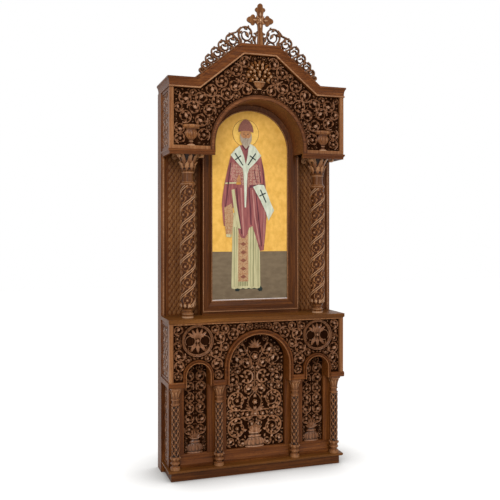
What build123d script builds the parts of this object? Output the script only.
from build123d import *
import os
from math import atan2, cos, hypot, radians, sin, sqrt, tan

# Carved walnut icon stand: a pierced cabinet on a moulded plinth, a shelf, and above it
# an arched icon in a deep frame between two carved columns that carry a gabled canopy.
#
# X runs to the right, the front faces -Y and Z is up. The origin lies on the floor, in the
# middle of the stand's width and depth. Depths are measured forwards from the rear face.
# All sizes are in millimetres.

# ---------------------------------------------------------------- driving dimensions
clearance = 0.3  # round a curved piece that is let into another
glue_line = 0.2  # between boards that are glued up into one piece
board = 20  # thickness of the carcass boards

# Widths: the canopy and the frieze are as wide as the stand, and the rest keeps to them
stand_width = 1000
carcass_reveal = 5  # by which each side board stands out past the canopy and the frieze
cabinet_set_back = 10  # of the cabinet behind the frieze, on each side
plinth_set_back = 5  # of the plinth behind the cabinet, on each side

# Plinth
plinth_depth = 259
plinth_height = 45
cap_thickness = 15
cap_overhang = 17
cap_nosing_radius = 9

# Full-height side boards and the back
side_board_thickness = 25
side_board_depth = 91
back_thickness = 10

# Lower cabinet
cabinet_depth = 215
bottom_rail_height = 65
cove_projection = 18
cove_foot_height = 16
cove_height = 52
centre_opening_width = 342
side_opening_width = 130
side_bay_inset = 118  # from the middle of a side bay to the outer colonnette
centre_vase_height = 78
side_vase_height = 80
panel_thickness = 14
panel_recess = 11
panel_head_cover = 26  # of a panel that stands above the arch in front of it
cabinet_side_thickness = 18

# Colonnettes
colonnette_height = 435
colonnette_depth = 244
outer_colonnette_inset = 30  # from its middle to the edge of the cabinet
inner_colonnette_inset = 49  # from its middle to the centre opening
colonnette_radius = 22.5
colonnette_foot_radius = 26.5
colonnette_foot_height = 70
colonnette_capital_height = 52
abacus_width = 54
abacus_height = 11

# Impost blocks and frieze
impost_height = 28
impost_projection = 5
frieze_depth = 280
frieze_height = 307
frieze_board_thickness = 22
frieze_border = 22
frieze_top_border = 7
carving_thickness = 14
carving_recess = 4
centre_arch_height = 90  # of the arch's centre over the colonnettes
side_arch_height = 58
centre_band_width = 26
side_band_width = 17
band_projection = 4
roundel_shift = 3  # outwards from the middle of the side bay
roundel_height = 214
roundel_radius = 85
roundel_ring_width = 20
side_field_border = 16
side_field_depth = 4

# Shelf
shelf_thickness = 23
shelf_overhang = 5
shelf_front_overhang = 8
shelf_nosing_radius = 8

# Icon and its frame
icon_width = 446
icon_rise = 77
icon_straight_height = 841
icon_thickness = 18
icon_depth = 118
frame_width = 62
frame_depth = 140
frame_fillet_width = 6
frame_lip = 4
frame_scotia_width = 21
frame_bead_width = 14
frame_bead_projection = 3

# Leaf panels beside the icon
leaf_panel_depth = 85
leaf_panel_thickness = 20
leaf_panel_lap = 45  # behind the icon frame

# Columns
column_inset = 120  # from its middle to the edge of the canopy
column_gap = 4  # between the capital and the moulding in front of it
column_height = 896
column_radius = 43
column_neck_radius = 31
column_neck_height = 64
column_base_height = 55
column_base_radius = 32
capital_height = 110
capital_width = 146
capital_abacus_height = 13
volute_radius = 17
volute_thickness = 24

# Canopy
canopy_depth = 284
canopy_height = 321
canopy_border = 23
canopy_bottom_border = 19
canopy_base_height = 27
canopy_base_projection = 6
canopy_base_thickness = 14
soffit_thickness = 12
arch_radius = 252
arch_rise = 27
archivolt_width = 25
archivolt_projection = 3
vault_thickness = 10
urn_height = 118
urn_width = 92
relief_projection = 11
medallion_radius = 78

# Cornice, gable and roof
cornice_height = 55
cornice_projection = 11
cornice_bead_height = 8
cornice_bead_projection = 5
cornice_top_height = 10
gable_foot_inset = 166  # from the edge of the canopy
gable_crown_half_width = 90
gable_height = 199
roof_thickness = 12

# Crest and cross
crest_thickness = 18
crest_rail = 7
crest_stem = 8
crest_end_gap = 2
crest_hoops = [(0.0, 46), (0.2, 40), (0.47, 37), (0.73, 33), (0.95, 24)]
cross_height = 226
cross_arm_height = 134
cross_arm_length = 76
cross_bar_width = 20
cross_foot_width = 34
cross_lobe_radius = 12
cross_thickness = 18

# Pierced carving
eye_largest = 40
eye_smallest = 26
eye_web = 6
eye_margin = 2  # kept free along the edges of a pierced panel

# ---------------------------------------------------------------- widths and offsets
half_width = stand_width / 2
carcass_half = half_width + carcass_reveal
carcass_inside = carcass_half - side_board_thickness
canopy_inside = half_width - board
cabinet_half = half_width - cabinet_set_back
plinth_half = cabinet_half - plinth_set_back
outer_colonnette_offset = cabinet_half - outer_colonnette_inset
inner_colonnette_offset = centre_opening_width / 2 + inner_colonnette_inset
side_bay_offset = outer_colonnette_offset - side_bay_inset
roundel_offset = side_bay_offset + roundel_shift
column_offset = half_width - column_inset
column_depth = canopy_depth - canopy_base_thickness - column_gap - capital_width / 2
gable_foot = half_width - gable_foot_inset
gable_crown = gable_crown_half_width

# ---------------------------------------------------------------- levels and faces
rear_y = (canopy_depth + cornice_projection) / 2
floor_z = plinth_height + cap_thickness  # top of the plinth
rail_z = floor_z + bottom_rail_height
impost_z = floor_z + colonnette_height
frieze_z = impost_z + impost_height
shelf_z = frieze_z + frieze_height
counter_z = shelf_z + shelf_thickness
icon_z = counter_z + icon_rise
icon_arch_z = icon_z + icon_straight_height
canopy_z = counter_z + column_height
arch_z = canopy_z + arch_rise
eaves_z = canopy_z + canopy_height
crown_z = eaves_z + gable_height
top_z = crown_z + cornice_height

centre_arch_z = impost_z + centre_arch_height
side_arch_z = impost_z + side_arch_height
roundel_z = frieze_z + roundel_height
centre_band_radius = centre_opening_width / 2 + centre_band_width
side_band_radius = side_opening_width / 2 + side_band_width
archivolt_radius = arch_radius + archivolt_width
icon_radius = icon_width / 2
frame_radius = icon_radius + frame_width
gable_angle = atan2(gable_height, gable_foot - gable_crown)


# ---------------------------------------------------------------- drawing aids
def y_at(depth):
    """Y of a place that lies `depth` in front of the rear face."""
    return rear_y - depth


def upright(depth):
    """Vertical plane that faces the front, `depth` in front of the rear face."""
    return Plane.XZ.offset(depth - rear_y)


def upright_at(x, depth, z):
    """Vertical plane that faces the front, with its own centre at a place."""
    return Plane((x, y_at(depth), z), x_dir=(1, 0, 0), z_dir=(0, -1, 0))


def level(z):
    """Horizontal plane at height z."""
    return Plane.XY.offset(z)


def span(low_x, high_x, low_y, high_y, mode=Mode.ADD):
    """Rectangle between two corners of the sketch in hand."""
    with Locations(((low_x + high_x) / 2, (low_y + high_y) / 2)):
        Rectangle(high_x - low_x, high_y - low_y, mode=mode)


def write(piece, node):
    """Label a finished piece and write it under its name."""
    piece.part.label = node
    export_step(piece.part, f"parts/{node}.step")


def write_pair(right, node):
    """Write a right-hand piece and its mirror image on the left."""
    with BuildPart() as left:
        mirror(right.part, about=Plane.YZ)
    write(right, f"{node}_right")
    write(left, f"{node}_left")


def write_twins(right, node):
    """Write a right-hand piece and its mirror image as two solids of one node."""
    with BuildPart() as twins:
        add(right.part)
        mirror(right.part, about=Plane.YZ)
    write(twins, node)


def gable_line(rise, reach):
    """Line from -reach to reach, `rise` square above the cornice's lower edge."""
    shift = rise * tan(gable_angle / 2)
    right = [
        (gable_crown + shift, crown_z + rise),
        (gable_foot + shift, eaves_z + rise),
        (reach, eaves_z + rise),
    ]
    return [(-x, z) for x, z in reversed(right)] + right


def arch_sketch(radius, spring_z, foot_z, mode=Mode.ADD):
    """Round-headed opening or board, from its foot to the top of its arch."""
    with Locations((0, spring_z)):
        Circle(radius, mode=mode)
    span(-radius, radius, foot_z, spring_z, mode)
    if mode == Mode.ADD:
        span(-radius, radius, foot_z - 2 * radius, foot_z, Mode.SUBTRACT)


def fill_with_eyes(room, width, low_z, high_z):
    """Centres, sizes and turns of the piercings of a carved field, largest first.

    `room` gives the distance from a place to the edge of the field. The field is the
    right half of the carving, and each piercing keeps a web of wood to the next.
    """
    step = eye_web
    free = {}
    for column in range(int(width / step)):
        for row in range(int((high_z - low_z) / step)):
            x = (column + 0.5) * step
            z = low_z + (row + 0.5) * step
            free[x, z] = min(room(x, z), x) - eye_web / 2
    eyes = []
    while True:
        (x, z), space = max(free.items(), key=lambda item: min(item[1], eye_largest))
        radius = min(space, eye_largest)
        if radius < eye_smallest:
            return eyes
        eyes.append((x, z, radius, 70 * len(eyes)))
        for place in free:
            gap = hypot(place[0] - x, place[1] - z) - radius - eye_web
            free[place] = min(free[place], gap)


def leaf(radius):
    """Leaf-shaped opening between two stems: broad near its heel, and run out into a point."""
    side = [(0.2 * radius, 0.42 * radius), (-0.5 * radius, 0.48 * radius), (-0.9 * radius, 0.15 * radius)]
    with BuildSketch(mode=Mode.PRIVATE) as shape:
        Polygon((radius, 0), *side, *[(x, -y) for x, y in reversed(side)], align=None)
    return shape.sketch


def flare(centre, low_z, low_radius, high_z, high_radius):
    """Eight-sided bell that widens from one height to another."""
    outline = [(-low_radius, low_z), (low_radius, low_z), (high_radius, high_z), (-high_radius, high_z)]
    with BuildPart(mode=Mode.PRIVATE) as bell:
        for turn in (0, 45, 90, 135):
            across = (cos(radians(turn)), sin(radians(turn)), 0)
            with BuildSketch(Plane((*centre, 0), x_dir=across, z_dir=(across[1], -across[0], 0))):
                Polygon(*outline, align=None)
            extrude(amount=2 * high_radius, both=True, mode=Mode.INTERSECT if turn else Mode.ADD)
    return bell.part


def pierce(eyes):
    """Cut a piercing at each place and at its mirror image, through the sketch in hand."""
    for x, z, radius, turn in eyes:
        hole = leaf(radius)
        for side in (-1, 1):
            cut = hole if side > 0 else mirror(hole, about=Plane.YZ, mode=Mode.PRIVATE)
            with Locations(Location((side * x, z, 0), (0, 0, side * turn))):
                add(cut, mode=Mode.SUBTRACT)


# ---------------------------------------------------------------- plinth
def make_plinth_frame():
    """Three plinth boards on edge under the cap, butted at the corners."""
    inner = plinth_half - board
    with BuildPart() as plinth_frame:
        with BuildSketch(level(0)):
            span(-plinth_half, plinth_half, y_at(plinth_depth), y_at(plinth_depth - board))
            rear = y_at(side_board_depth)
            front = y_at(plinth_depth - board) + glue_line
            for side in (-1, 1):
                x = side * (inner + board / 2)
                with Locations((x, (front + rear) / 2)):
                    Rectangle(board, rear - front)
        extrude(amount=plinth_height)
    write(plinth_frame, "plinth_frame")


def make_shelf_board(node, z, thickness, reach, depth, rear_depth, nosing_radius):
    """Board across the stand, notched round the side boards, nosed on its three open edges."""
    front, notch = y_at(depth), y_at(side_board_depth)
    with BuildPart() as shelf:
        with BuildSketch(level(z)):
            span(-reach, reach, front, notch)
            span(-carcass_inside, carcass_inside, notch, y_at(rear_depth))
        extrude(amount=thickness)
        lower = shelf.edges().filter_by_position(Axis.Z, z, z)
        ahead = lower.filter_by_position(Axis.Y, front, front)
        sides = lower.filter_by(Axis.Y).filter_by_position(Axis.Y, front, notch).sort_by(Axis.X)
        fillet([*ahead, sides[0], sides[-1]], radius=nosing_radius)
    write(shelf, node)


# ---------------------------------------------------------------- carcass
def make_side_boards():
    """Full-height boards at the rear corners, from the floor to the cornice."""
    with BuildPart() as side_board:
        with BuildSketch(level(0)):
            span(carcass_inside, carcass_half, y_at(side_board_depth), y_at(0))
        extrude(amount=eaves_z)
        front = side_board.edges().filter_by(Axis.Z).group_by(Axis.Y)[0]
        chamfer(front, length=2)
    write_pair(side_board, "side_board")


def make_back_panel():
    """Back board between the side boards, gabled like the roof above it."""
    lower = [(carcass_inside, floor_z), (-carcass_inside, floor_z)]
    line = gable_line(cornice_height - roof_thickness, carcass_inside)
    with BuildPart() as back_panel:
        with BuildSketch(upright(0)):
            Polygon(*line, *lower, align=None)
        extrude(amount=back_thickness)
    write(back_panel, "back_panel")


def make_cabinet_sides():
    """Fielded side panels of the lower cabinet, between the side board and the front frame."""
    outer = cabinet_half
    rear, front = side_board_depth, cabinet_depth - board
    with BuildPart() as cabinet_side:
        with BuildSketch(Plane.YZ.offset(outer - cabinet_side_thickness)):
            span(y_at(front), y_at(rear), floor_z, impost_z)
        extrude(amount=cabinet_side_thickness)
        with BuildSketch(Plane.YZ.offset(outer - side_field_depth)):
            span(
                y_at(front) + side_field_border,
                y_at(rear) - side_field_border,
                floor_z + side_field_border,
                impost_z - side_field_border,
            )
        extrude(amount=side_field_depth, mode=Mode.SUBTRACT)
    write_pair(cabinet_side, "cabinet_side")


# ---------------------------------------------------------------- front frame of the cabinet
def make_bottom_rail():
    """Bottom rail with a cove between each two colonnettes that runs out onto the plinth."""
    half = cabinet_half
    face = y_at(cabinet_depth)
    foot = face - cove_projection
    stop = colonnette_foot_radius + 3
    bays = [
        (-outer_colonnette_offset + stop, -inner_colonnette_offset - stop),
        (-inner_colonnette_offset + stop, inner_colonnette_offset - stop),
        (inner_colonnette_offset + stop, outer_colonnette_offset - stop),
    ]
    with BuildPart() as bottom_rail:
        with BuildSketch(upright(cabinet_depth - board)):
            span(-half, half, floor_z, rail_z)
        extrude(amount=board)
        for start, end in bays:
            with BuildSketch(Plane.YZ.offset(start)):
                with BuildLine():
                    top = (face, floor_z + cove_height)
                    lip = (foot + 3, floor_z + cove_foot_height)
                    Polyline(top, (face, floor_z), (foot, floor_z))
                    Polyline((foot, floor_z), (foot, floor_z + cove_foot_height), lip)
                    TangentArc(top, lip, tangent=(0, -1))
                make_face()
            extrude(amount=end - start)
        edge = bottom_rail.edges().filter_by(Axis.X).group_by(Axis.Z)[-1].sort_by(Axis.Y)[0]
        chamfer(edge, length=4)
    write(bottom_rail, "cabinet_bottom_rail")


def make_stiles():
    """Stiles behind the colonnettes, from the bottom rail to the shelf."""
    inner = (centre_opening_width / 2, side_bay_offset - side_opening_width / 2)
    outer = (side_bay_offset + side_opening_width / 2, cabinet_half)
    for node, (low_x, high_x) in {"inner_stile": inner, "outer_stile": outer}.items():
        with BuildPart() as stile:
            with BuildSketch(upright(cabinet_depth - board)):
                span(low_x, high_x, rail_z, shelf_z)
            extrude(amount=board)
        write_pair(stile, node)


def make_top_rails():
    """Rails that close the frame above each pierced panel, hidden behind the frieze."""
    centre_foot = centre_arch_z + centre_opening_width / 2 + panel_head_cover
    side_foot = side_arch_z + side_opening_width / 2 + panel_head_cover
    side = side_opening_width / 2 - glue_line
    centre = centre_opening_width / 2 - glue_line
    with BuildPart() as top_rails:
        with BuildSketch(upright(cabinet_depth - board)):
            span(-centre, centre, centre_foot, shelf_z)
            span(side_bay_offset - side, side_bay_offset + side, side_foot, shelf_z)
            span(-side_bay_offset - side, -side_bay_offset + side, side_foot, shelf_z)
        extrude(amount=board)
    write(top_rails, "cabinet_top_rails")


def make_pierced_panel(node, centre_x, width, arch_height, vase_height):
    """Pierced panel that fills one opening of the front frame.

    The piercings stop at the arch in front of the panel, and a vase is left standing solid
    at the foot, from which the vine climbs.
    """
    half = width / 2
    top = arch_height + half + panel_head_cover
    vase_top = rail_z + vase_height

    def room(x, z):
        """Distance to the opening's side, foot or arch, and to the vase."""
        side = half - x if z < arch_height else half - hypot(x, z - arch_height)
        vase = hypot(x, max(z - vase_top, 0)) - 0.32 * width if z < vase_top else z - vase_top
        if z >= vase_top:
            vase = hypot(max(x - 0.25 * width, 0), z - vase_top)
        return min(side, z - rail_z, vase) - eye_margin

    face = cabinet_depth - panel_recess
    eyes = fill_with_eyes(room, half, rail_z, top)
    with BuildPart() as panel:
        with BuildSketch(upright(face - panel_thickness)):
            span(-half, half, rail_z, top)
            pierce(eyes)
        extrude(amount=panel_thickness)
        with BuildSketch(upright(face)):
            with BuildLine():
                foot = (0.2 * width, rail_z)
                neck = (0.1 * width, rail_z + 0.75 * vase_height)
                Line((0, rail_z), foot)
                ThreePointArc(foot, (0.26 * width, rail_z + 0.35 * vase_height), neck)
                Polyline(neck, (0.15 * width, vase_top), (0, vase_top))
                mirror(about=Plane.YZ)
            make_face()
        extrude(amount=panel_recess / 2)
    if centre_x:
        with BuildPart() as placed:
            add(panel.part.moved(Location((centre_x, 0, 0))))
        write_twins(placed, node)
    else:
        write(panel, node)


# ---------------------------------------------------------------- colonnettes
def make_colonnettes():
    """Four turned colonnettes with ringed feet, bell capitals and square abaci."""
    foot, shaft = colonnette_foot_radius, colonnette_radius
    base_top = colonnette_foot_height
    bell = floor_z + colonnette_height - colonnette_capital_height
    bell_top = floor_z + colonnette_height - abacus_height
    outline = [
        (0, 0),
        (foot, 0),
        (foot, base_top),
        (shaft, base_top),
        (shaft, bell - floor_z),
        (0, bell - floor_z),
    ]
    offsets = {"inner": inner_colonnette_offset, "outer": outer_colonnette_offset}
    for place, offset_x in offsets.items():
        axis = Plane((offset_x, y_at(colonnette_depth), floor_z), x_dir=(1, 0, 0), z_dir=(0, -1, 0))
        with BuildPart() as colonnette:
            with BuildSketch(axis):
                Polygon(*outline, align=None)
            revolve(axis=Axis(axis.origin, (0, 0, 1)))
            centre = (offset_x, y_at(colonnette_depth))
            add(flare(centre, bell, shaft, bell_top, foot))
            with BuildSketch(level(bell_top)):
                with Locations(centre):
                    Rectangle(abacus_width, abacus_width)
            extrude(amount=abacus_height)
        write_twins(colonnette, f"{place}_colonnettes")


# ---------------------------------------------------------------- imposts and frieze
def make_imposts():
    """Blocks on the colonnettes; the outer two return along the sides of the cabinet."""
    back, front = y_at(cabinet_depth), y_at(frieze_depth + impost_projection)
    outer = half_width + impost_projection
    inner_block = (centre_band_radius + clearance, side_bay_offset - side_band_radius - clearance)
    outer_block = (side_bay_offset + side_band_radius + clearance, outer)
    with BuildPart() as imposts:
        with BuildSketch(level(impost_z)):
            for low_x, high_x in (inner_block, outer_block):
                span(low_x, high_x, front, back)
                span(-high_x, -low_x, front, back)
            stile_back, rear = y_at(cabinet_depth - board), y_at(side_board_depth)
            side, edge = cabinet_half - cabinet_side_thickness, cabinet_half
            span(side, outer, stile_back, rear)
            span(-outer, -side, stile_back, rear)
            span(edge, outer, back, stile_back)
            span(-outer, -edge, back, stile_back)
        extrude(amount=impost_height)
        lower = imposts.edges().filter_by(Axis.X).filter_by_position(Axis.Y, front, front)
        chamfer(lower.group_by(Axis.Z)[0], length=impost_projection)
        upper = imposts.edges().filter_by(Axis.X).filter_by_position(Axis.Y, front, front)
        chamfer(upper.group_by(Axis.Z)[-1], length=impost_projection - 1)
    write(imposts, "imposts")


def make_frieze_frame():
    """Border of the frieze: two stiles on the outer imposts and a rail under the shelf."""
    half, inside = half_width, half_width - frieze_border
    with BuildPart() as frieze_frame:
        with BuildSketch(upright(frieze_depth - frieze_board_thickness)):
            span(inside, half, frieze_z, shelf_z)
            span(-half, -inside, frieze_z, shelf_z)
            span(-inside + glue_line, inside - glue_line, shelf_z - frieze_top_border, shelf_z)
        extrude(amount=frieze_board_thickness)
    write(frieze_frame, "frieze_frame")


def make_frieze_carving():
    """Pierced vine carving of the frieze, cut out round its arches and roundels."""
    inside = half_width - frieze_border
    top = shelf_z - frieze_top_border

    def room(x, z):
        """Distance to the border, the arches and the roundel."""
        centre = hypot(x, max(z - centre_arch_z, 0)) - centre_band_radius
        side_x = x - side_bay_offset
        side = hypot(side_x, max(z - side_arch_z, 0)) - side_band_radius
        roundel = hypot(x - roundel_offset, z - roundel_z) - roundel_radius
        return min(inside - x, top - z, z - frieze_z, centre, side, roundel)

    eyes = fill_with_eyes(room, inside, frieze_z, top)
    with BuildPart() as frieze_carving:
        with BuildSketch(upright(frieze_depth - carving_recess - carving_thickness)):
            span(-inside, inside, frieze_z, top)
            arch_sketch(centre_band_radius + clearance, centre_arch_z, frieze_z, Mode.SUBTRACT)
            for side in (-1, 1):
                with Locations((side * side_bay_offset, side_arch_z)):
                    Circle(side_band_radius + clearance, mode=Mode.SUBTRACT)
                reach = side_band_radius + clearance
                x = side * side_bay_offset
                span(x - reach, x + reach, frieze_z, side_arch_z, Mode.SUBTRACT)
                with Locations((side * roundel_offset, roundel_z)):
                    Circle(roundel_radius + clearance, mode=Mode.SUBTRACT)
            pierce(eyes)
        extrude(amount=carving_thickness)
    write(frieze_carving, "frieze_carving")


def make_frieze_sides():
    """Sides of the frieze, with a sunk field for carving."""
    rear, front = side_board_depth, frieze_depth - frieze_board_thickness
    with BuildPart() as frieze_side:
        with BuildSketch(Plane.YZ.offset(cabinet_half)):
            span(y_at(front), y_at(rear), frieze_z, shelf_z)
        extrude(amount=cabinet_set_back)
        with BuildSketch(Plane.YZ.offset(half_width - side_field_depth)):
            span(
                y_at(front) + side_field_border,
                y_at(rear) - side_field_border,
                frieze_z + side_field_border,
                shelf_z - side_field_border,
            )
        extrude(amount=side_field_depth, mode=Mode.SUBTRACT)
    write_pair(frieze_side, "frieze_side")


def make_arch_band(node, centre_x, opening_width, band_width, spring_z):
    """Smooth band that lines one arch and stands a little proud of the frieze."""
    inner, outer = opening_width / 2, opening_width / 2 + band_width
    with BuildPart() as band:
        with BuildSketch(upright(cabinet_depth)):
            arch_sketch(outer, spring_z, impost_z)
            arch_sketch(inner, spring_z, impost_z, Mode.SUBTRACT)
        extrude(amount=frieze_depth + band_projection - cabinet_depth)
    if centre_x:
        with BuildPart() as placed:
            add(band.part.moved(Location((centre_x, 0, 0))))
        write_twins(placed, node)
    else:
        write(band, node)


def make_roundels():
    """Moulded rings above the side arches, each filled with a pierced four-leaved flower."""
    back = frieze_depth - carving_recess - carving_thickness
    disc = roundel_radius - roundel_ring_width
    with BuildPart() as roundel:
        with BuildSketch(upright(back)):
            with Locations((roundel_offset, roundel_z)):
                Circle(roundel_radius)
                with PolarLocations(0.56 * disc, 4, start_angle=45):
                    add(leaf(0.42 * disc), mode=Mode.SUBTRACT)
        extrude(amount=carving_thickness - carving_recess)
        with BuildSketch(upright(back + carving_thickness - carving_recess)):
            with Locations((roundel_offset, roundel_z)):
                Circle(roundel_radius)
                Circle(disc, mode=Mode.SUBTRACT)
        extrude(amount=2 * carving_recess + band_projection)
    write_twins(roundel, "roundels")


# ---------------------------------------------------------------- icon and its frame
def frame_profile(edge, outward, across):
    """Moulding of the icon frame, from its inner fillet out over a hollow to an outer bead.

    `edge` is where the icon ends, `outward` points away from it and `across` tells whether
    the moulding is drawn with its width along the sketch's first direction.
    """
    lip = icon_depth + frame_lip
    scotia_end = frame_fillet_width + frame_scotia_width
    bead = frame_width - frame_bead_width
    crest = frame_depth + frame_bead_projection

    def place(width, depth):
        """Point of the profile in the sketch."""
        pair = (edge + outward * width, y_at(depth))
        return pair if across else (pair[1], pair[0])

    Polygon(
        place(0, lip),
        place(0, leaf_panel_depth),
        place(frame_width, leaf_panel_depth),
        place(frame_width, crest),
        place(bead + frame_bead_width / 3, crest),
        place(bead, frame_depth),
        place(scotia_end, frame_depth),
        place(frame_fillet_width, lip),
        align=None,
    )


def make_icon_frame():
    """Mitred frame: an arched head, two stiles and a sill that stands on the shelf."""
    axis = Axis((0, 0, icon_arch_z), (0, -1, 0))
    with BuildPart() as head:
        with BuildSketch(level(icon_arch_z)):
            frame_profile(icon_radius, 1, True)
        revolve(axis=axis, revolution_arc=180)
    write(head, "icon_frame_head")

    corner = (icon_radius, 0, icon_z)
    with BuildPart() as stile:
        with BuildSketch(level(icon_arch_z)):
            frame_profile(icon_radius, 1, True)
        extrude(amount=-(icon_straight_height + frame_width))
        split(bisect_by=Plane(corner, z_dir=(1, 0, 1)), keep=Keep.TOP)
    write_pair(stile, "icon_frame_stile")

    with BuildPart() as sill:
        with BuildSketch(Plane.YZ.offset(-frame_radius)):
            frame_profile(icon_z, -1, False)
        extrude(amount=2 * frame_radius)
        split(bisect_by=Plane(corner, z_dir=(1, 0, 1)), keep=Keep.BOTTOM)
        split(bisect_by=Plane((-icon_radius, 0, icon_z), z_dir=(-1, 0, 1)), keep=Keep.BOTTOM)
        with BuildSketch(upright(leaf_panel_depth)):
            span(-frame_radius, frame_radius, counter_z, icon_z - frame_width)
        extrude(amount=frame_depth - leaf_panel_depth)
    write(sill, "icon_frame_sill")


def make_icon_panel():
    """Round-headed icon board, let into its frame."""
    with BuildPart() as icon_panel:
        with BuildSketch(upright(icon_depth - icon_thickness)):
            arch_sketch(icon_radius - clearance, icon_arch_z, icon_z + clearance)
        extrude(amount=icon_thickness)
    write(icon_panel, "icon_panel")


def make_leaf_panels():
    """Panels beside the icon, from under its frame to the side boards."""
    with BuildPart() as leaf_panel:
        with BuildSketch(upright(leaf_panel_depth - leaf_panel_thickness)):
            span(frame_radius - leaf_panel_lap, carcass_inside, counter_z, canopy_z + soffit_thickness)
        extrude(amount=leaf_panel_thickness)
    write_pair(leaf_panel, "leaf_panel")


# ---------------------------------------------------------------- columns
def make_columns():
    """Columns turned with a foot that flares into the shaft, and a neck under the capital."""
    axis_y = y_at(column_depth)
    shaft_z = counter_z + column_base_height
    capital_z = canopy_z - capital_height
    neck_z = capital_z - column_neck_height
    foot, shaft, neck = column_base_radius, column_radius, column_neck_radius
    outline = [
        (0, counter_z),
        (foot, counter_z),
        (foot, counter_z + 0.4 * column_base_height),
        (shaft, shaft_z),
        (shaft, neck_z),
        (neck, neck_z),
        (neck, capital_z),
        (0, capital_z),
    ]
    with BuildPart() as column:
        with BuildSketch(upright_at(column_offset, column_depth, 0)):
            Polygon(*outline, align=None)
        revolve(axis=Axis((column_offset, axis_y, 0), (0, 0, 1)))
    write_twins(column, "columns")


def make_capitals():
    """Eight-sided bell capitals with a hollow-sided abacus and a volute under each corner."""
    capital_z = canopy_z - capital_height
    abacus_z = canopy_z - capital_abacus_height
    centre = (column_offset, y_at(column_depth))
    half = capital_width / 2
    volute_z = abacus_z - volute_radius
    with BuildPart() as capital:
        add(flare(centre, capital_z, column_neck_radius, abacus_z, 0.75 * half))
        with BuildSketch(level(abacus_z)):
            with BuildLine(Plane.XY.move(Location((*centre, 0)))):
                hollow = 0.84 * half
                tip = half - 8
                ThreePointArc((tip, half), (0, hollow), (-tip, half))
                Line((-tip, half), (-half, tip))
                ThreePointArc((-half, tip), (-hollow, 0), (-half, -tip))
                Line((-half, -tip), (-tip, -half))
                ThreePointArc((-tip, -half), (0, -hollow), (tip, -half))
                Line((tip, -half), (half, -tip))
                ThreePointArc((half, -tip), (hollow, 0), (half, tip))
                Line((half, tip), (tip, half))
            make_face()
        extrude(amount=capital_abacus_height)
        reach = half - volute_radius / sqrt(2) - 3
        for turn in (45, 135, 225, 315):
            arm = Plane((*centre, volute_z), x_dir=(cos(radians(turn)), sin(radians(turn)), 0),
                        z_dir=(sin(radians(turn)), -cos(radians(turn)), 0))
            with BuildSketch(arm):
                with Locations((reach * sqrt(2) - volute_radius, 0)):
                    RegularPolygon(volute_radius, 12)
                span(0, reach * sqrt(2) - volute_radius, 0, volute_radius)
            extrude(amount=volute_thickness / 2, both=True)
    write_twins(capital, "column_capitals")


# ---------------------------------------------------------------- mouldings in mitred lengths
def moulding_run(start, end, outward, profile, start_cut, end_cut):
    """One straight length of moulding, cut to the two mitres that it meets."""
    start, end = Vector(*start), Vector(*end)
    along = (end - start).normalized()
    with BuildPart() as run:
        with BuildSketch(Plane(start, x_dir=outward, z_dir=along * -1)):
            profile()
        extrude(amount=2 * (end - start).length, both=True)
        split(bisect_by=Plane(start, z_dir=start_cut), keep=Keep.TOP)
        split(bisect_by=Plane(end, z_dir=end_cut), keep=Keep.BOTTOM)
    return run.part


def cornice_profile():
    """Cornice: a bead, a wide cove and a square top edge, on a board as thick as the front."""
    cove_foot = cornice_bead_height + 4
    cove_top = cornice_height - cornice_top_height
    with BuildLine() as outline:
        Polyline(
            (2, cove_foot),
            (2, cornice_bead_height),
            (cornice_bead_projection, cornice_bead_height),
            (cornice_bead_projection, 0),
            (-board, 0),
            (-board, cornice_height),
            (cornice_projection, cornice_height),
            (cornice_projection, cove_top),
            (cornice_projection - 2, cove_top),
        )
        hollow = (0.36 * cornice_projection, 0.62 * cove_top + 0.38 * cove_foot)
        ThreePointArc((cornice_projection - 2, cove_top), hollow, (2, cove_foot))
    make_face(outline.edges())


def canopy_base_profile():
    """Moulding under the canopy's front: a square edge over a hollow."""
    low, out = -canopy_base_height, canopy_base_projection
    with BuildLine() as outline:
        back = -canopy_base_thickness
        Polyline((0, low), (back, low), (back, 0), (out, 0), (out, -10), (out - 2, -10))
        ThreePointArc((out - 2, -10), (1, -15), (0, low))
    make_face(outline.edges())


def make_cornice():
    """Cornice in mitred lengths: the crown, and on each side a slope, a flat and a return."""
    face, half = y_at(canopy_depth), half_width
    crown, foot = (gable_crown, face, crown_z), (gable_foot, face, eaves_z)
    corner, rear = (half, face, eaves_z), (half, y_at(0), eaves_z)
    level_run, slope_run = Vector(1, 0, 0), Vector(cos(gable_angle), 0, -sin(gable_angle))
    rear_run = Vector(0, 1, 0)
    mitre, bend = (level_run + slope_run).normalized(), (level_run + rear_run).normalized()
    front = (0, -1, 0)
    slope = moulding_run(crown, foot, front, cornice_profile, mitre, mitre)
    flat = moulding_run(foot, corner, front, cornice_profile, mitre, bend)
    back = moulding_run(corner, rear, (1, 0, 0), cornice_profile, bend, rear_run)
    with BuildPart() as cornice:
        add(slope)
        add(flat)
        add(back)
    write_pair(cornice, "cornice")

    left_crown = (-gable_crown, face, crown_z)
    left_mitre = Vector(mitre.X, 0, -mitre.Z)
    with BuildPart() as crown_piece:
        add(moulding_run(left_crown, crown, front, cornice_profile, left_mitre, mitre))
    write(crown_piece, "cornice_crown")


def make_canopy_base():
    """Moulding under the canopy, from the arch round the corner to the side boards."""
    face, half = y_at(canopy_depth), half_width
    start, corner = (arch_radius, face, canopy_z), (half, face, canopy_z)
    rear = (half, y_at(side_board_depth), canopy_z)
    across, along = Vector(1, 0, 0), Vector(0, 1, 0)
    bend = (across + along).normalized()
    front = moulding_run(start, corner, (0, -1, 0), canopy_base_profile, across, bend)
    back = moulding_run(corner, rear, (1, 0, 0), canopy_base_profile, bend, along)
    with BuildPart() as canopy_base:
        add(front)
        add(back)
    write_twins(canopy_base, "canopy_base_mouldings")


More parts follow.
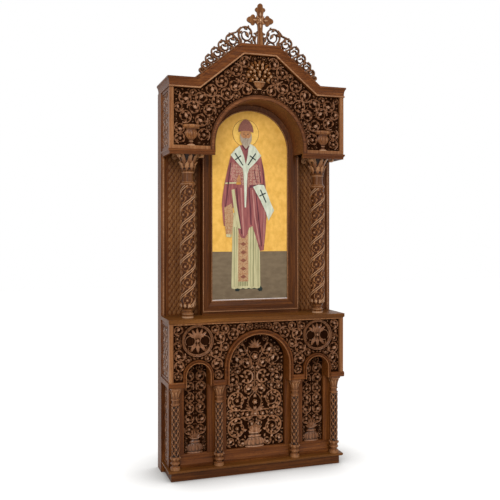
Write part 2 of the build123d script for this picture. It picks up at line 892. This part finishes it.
# ---------------------------------------------------------------- canopy
def make_canopy_frame():
    """Border of the canopy's front: two stiles, and a rail on each side of the arch."""
    half, inside = half_width, half_width - canopy_border
    with BuildPart() as canopy_frame:
        with BuildSketch(upright(canopy_depth - board)):
            for side in (-1, 1):
                with Locations((side * (half + inside) / 2, (canopy_z + eaves_z) / 2)):
                    Rectangle(canopy_border, eaves_z - canopy_z)
                low, high = archivolt_radius + clearance, inside - glue_line
                with Locations((side * (low + high) / 2, canopy_z + canopy_bottom_border / 2)):
                    Rectangle(high - low, canopy_bottom_border)
        extrude(amount=board)
    write(canopy_frame, "canopy_frame")


def make_canopy_carving():
    """Pierced vine carving over the arch, up to the gabled cornice."""
    inside = half_width - canopy_border
    foot = canopy_z + canopy_bottom_border
    reach = archivolt_radius + clearance
    medallion_z = (arch_z + archivolt_radius + crown_z) / 2
    urn_top = foot + urn_height

    def room(x, z):
        """Distance to the border, the arch, the gable, the urn and the medallion."""
        slope = (crown_z - z) * cos(gable_angle) - (x - gable_crown) * sin(gable_angle)
        roof = eaves_z - z if x > gable_foot else max(slope, eaves_z - z)
        arch = hypot(x, max(z - arch_z, 0)) - reach
        urn = hypot(max(abs(x - column_offset) - urn_width / 4, 0), max(z - urn_top, 0))
        medallion = hypot(x, z - medallion_z) - 0.7 * medallion_radius
        return min(inside - x, crown_z - z, roof, z - foot, arch, urn, medallion)

    eyes = fill_with_eyes(room, inside, foot, crown_z)
    line = gable_line(0, inside)
    with BuildPart() as canopy_carving:
        with BuildSketch(upright(canopy_depth - carving_recess - carving_thickness)):
            Polygon(*line, (inside, foot), (-inside, foot), align=None)
            arch_sketch(reach, arch_z, foot, Mode.SUBTRACT)
            pierce(eyes)
        extrude(amount=carving_thickness)
    write(canopy_carving, "canopy_carving")

    face = canopy_depth - carving_recess
    with BuildPart() as urn:
        with BuildSketch(upright_at(column_offset, face, foot)):
            with BuildLine():
                half = urn_width / 2
                base = (0.4 * half, 0)
                stem, lip = (0.16 * half, 0.2 * urn_height), (0.86 * half, 0.72 * urn_height)
                Line((0, 0), base)
                ThreePointArc(base, (0.24 * half, 0.1 * urn_height), stem)
                ThreePointArc(stem, (0.66 * half, 0.36 * urn_height), lip)
                Polyline(lip, (half, 0.86 * urn_height), (half, urn_height), (0, urn_height))
                mirror(about=Plane.YZ)
            make_face()
        extrude(amount=relief_projection, taper=12)

    with BuildPart() as relief:
        add(urn.part)
        mirror(urn.part, about=Plane.YZ)
        with BuildSketch(upright_at(0, face, medallion_z)):
            Circle(0.4 * medallion_radius)
            with PolarLocations(0.56 * medallion_radius, 8):
                add(leaf(0.44 * medallion_radius))
        extrude(amount=relief_projection)
    write(relief, "canopy_relief")


def make_canopy_sides():
    """Sides of the canopy, with a sunk field for carving."""
    rear, front = side_board_depth, canopy_depth - board
    with BuildPart() as canopy_side:
        with BuildSketch(Plane.YZ.offset(canopy_inside)):
            span(y_at(front), y_at(rear), canopy_z, eaves_z)
        extrude(amount=board)
        with BuildSketch(Plane.YZ.offset(half_width - side_field_depth)):
            span(
                y_at(front) + side_field_border,
                y_at(rear) - side_field_border,
                canopy_z + side_field_border,
                eaves_z - side_field_border,
            )
        extrude(amount=side_field_depth, mode=Mode.SUBTRACT)
    write_pair(canopy_side, "canopy_side")


def make_canopy_inside():
    """Soffit boards over the columns, and the vault that runs back from the arch to the icon."""
    with BuildPart() as soffit:
        with BuildSketch(level(canopy_z)):
            wall = arch_radius + vault_thickness
            bead = y_at(frame_depth + frame_bead_projection)
            span(wall, canopy_inside, y_at(canopy_depth - board), bead)
            span(frame_radius, canopy_inside, bead, y_at(leaf_panel_depth))
        extrude(amount=soffit_thickness)
    write_twins(soffit, "canopy_soffits")

    with BuildPart() as lining:
        with BuildSketch(upright(frame_depth)):
            arch_sketch(arch_radius + vault_thickness, arch_z, canopy_z)
            arch_sketch(arch_radius, arch_z, canopy_z, Mode.SUBTRACT)
        extrude(amount=canopy_depth - frame_depth)
        with BuildSketch(upright(canopy_depth - board)):
            arch_sketch(archivolt_radius, arch_z, canopy_z)
            arch_sketch(arch_radius, arch_z, canopy_z, Mode.SUBTRACT)
        extrude(amount=board + archivolt_projection)
    write(lining, "arch_lining")


def make_roof():
    """Roof boards behind the cornice, folded to the gable."""
    upper = gable_line(cornice_height, canopy_inside)
    lower = gable_line(cornice_height - roof_thickness, canopy_inside)
    with BuildPart() as roof:
        with BuildSketch(upright(0)):
            Polygon(*upper, *reversed(lower), align=None)
        extrude(amount=canopy_depth - board)
    write(roof, "roof")


# ---------------------------------------------------------------- crest and cross
def make_crest():
    """Pierced crest of scrolled hoops that climbs each slope of the gable to the cross."""
    shift = cornice_height * tan(gable_angle / 2)
    knee = (gable_crown + shift, top_z)
    foot = (gable_foot + shift, eaves_z + cornice_height)
    start = cross_foot_width / 2 + crest_end_gap
    run = hypot(foot[0] - knee[0], foot[1] - knee[1])
    along = ((foot[0] - knee[0]) / run, (foot[1] - knee[1]) / run)
    square = (-along[1], along[0])
    centres = []
    for share, radius in crest_hoops:
        if share:
            lift = radius - 3
            x = knee[0] + share * run * along[0] + lift * square[0]
            z = knee[1] + share * run * along[1] + lift * square[1]
        else:
            x, z = start + radius, top_z + radius
        centres.append((x, z, radius))
    with BuildPart() as crest:
        with BuildSketch(upright(canopy_depth - crest_thickness)):
            for x, z, radius in centres:
                with Locations((x, z)):
                    RegularPolygon(radius, 16)
            for x, z, radius in centres:
                with Locations((x, z)):
                    RegularPolygon(radius - crest_stem, 12, mode=Mode.SUBTRACT)
            Polygon(
                (start, top_z),
                knee,
                foot,
                (foot[0] + crest_rail * square[0], foot[1] + crest_rail * square[1]),
                (knee[0] + crest_rail * tan(gable_angle / 2), top_z + crest_rail),
                (start, top_z + crest_rail),
                align=None,
            )
            far = 4 * crest_hoops[0][1]
            Polygon(
                (0, top_z),
                knee,
                foot,
                (foot[0] + far, foot[1]),
                (foot[0] + far, foot[1] - far),
                (0, foot[1] - far),
                align=None,
                mode=Mode.SUBTRACT,
            )
            span(-far, start, top_z - far, top_z + 2 * far, Mode.SUBTRACT)
        extrude(amount=crest_thickness)
    write_twins(crest, "crest")


def make_cross():
    """Cross on the crown of the gable, whose three upper ends are three-lobed buds."""
    arm_z = top_z + cross_arm_height
    head_z = top_z + cross_height
    lobe, bar, foot = cross_lobe_radius, cross_bar_width / 2, cross_foot_width / 2
    front = canopy_depth + cornice_projection - 2
    # Distance from the tip and half width of a bud, in lobe radii, from the bar to the tip.
    bud = [(2.7, 1.4), (2.3, 1.9), (1.9, 1.95), (1.5, 1.6), (1.4, 1.1), (0.9, 1.1), (0.35, 0.85), (0, 0.35)]
    arm = [(cross_arm_length - along * lobe, across * lobe) for along, across in bud]
    right = [(foot, top_z), (bar, top_z + 4 * bar), (bar, arm_z - bar)]
    right += [(arm[0][0], arm_z - bar)] + [(x, arm_z - rise) for x, rise in arm]
    right += [(x, arm_z + rise) for x, rise in reversed(arm)] + [(arm[0][0], arm_z + bar)]
    right += [(bar, arm_z + bar), (bar, head_z - bud[0][0] * lobe)]
    right += [(across * lobe, head_z - along * lobe) for along, across in bud]
    with BuildPart() as cross:
        with BuildSketch(upright(front - cross_thickness)):
            Polygon(*right, *[(-x, z) for x, z in reversed(right)], align=None)
        extrude(amount=cross_thickness)
    write(cross, "cross")


# ---------------------------------------------------------------- assembly
def build():
    """Make every piece of the stand and write it to the parts folder."""
    os.makedirs("parts", exist_ok=True)
    make_plinth_frame()
    make_shelf_board(
        "plinth_cap",
        plinth_height,
        cap_thickness,
        plinth_half + cap_overhang,
        plinth_depth + cap_overhang,
        0,
        cap_nosing_radius,
    )
    make_side_boards()
    make_back_panel()
    make_cabinet_sides()
    make_bottom_rail()
    make_stiles()
    make_top_rails()
    make_pierced_panel("centre_panel", 0, centre_opening_width, centre_arch_z, centre_vase_height)
    make_pierced_panel("side_panels", side_bay_offset, side_opening_width, side_arch_z, side_vase_height)
    make_colonnettes()
    make_imposts()
    make_frieze_frame()
    make_frieze_carving()
    make_frieze_sides()
    make_arch_band("centre_arch_band", 0, centre_opening_width, centre_band_width, centre_arch_z)
    make_arch_band("side_arch_bands", side_bay_offset, side_opening_width, side_band_width, side_arch_z)
    make_roundels()
    make_shelf_board(
        "shelf",
        shelf_z,
        shelf_thickness,
        half_width + shelf_overhang,
        frieze_depth + shelf_front_overhang,
        back_thickness,
        shelf_nosing_radius,
    )
    make_icon_frame()
    make_icon_panel()
    make_leaf_panels()
    make_columns()
    make_capitals()
    make_canopy_frame()
    make_canopy_carving()
    make_canopy_sides()
    make_canopy_inside()
    make_canopy_base()
    make_cornice()
    make_roof()
    make_crest()
    make_cross()


build()
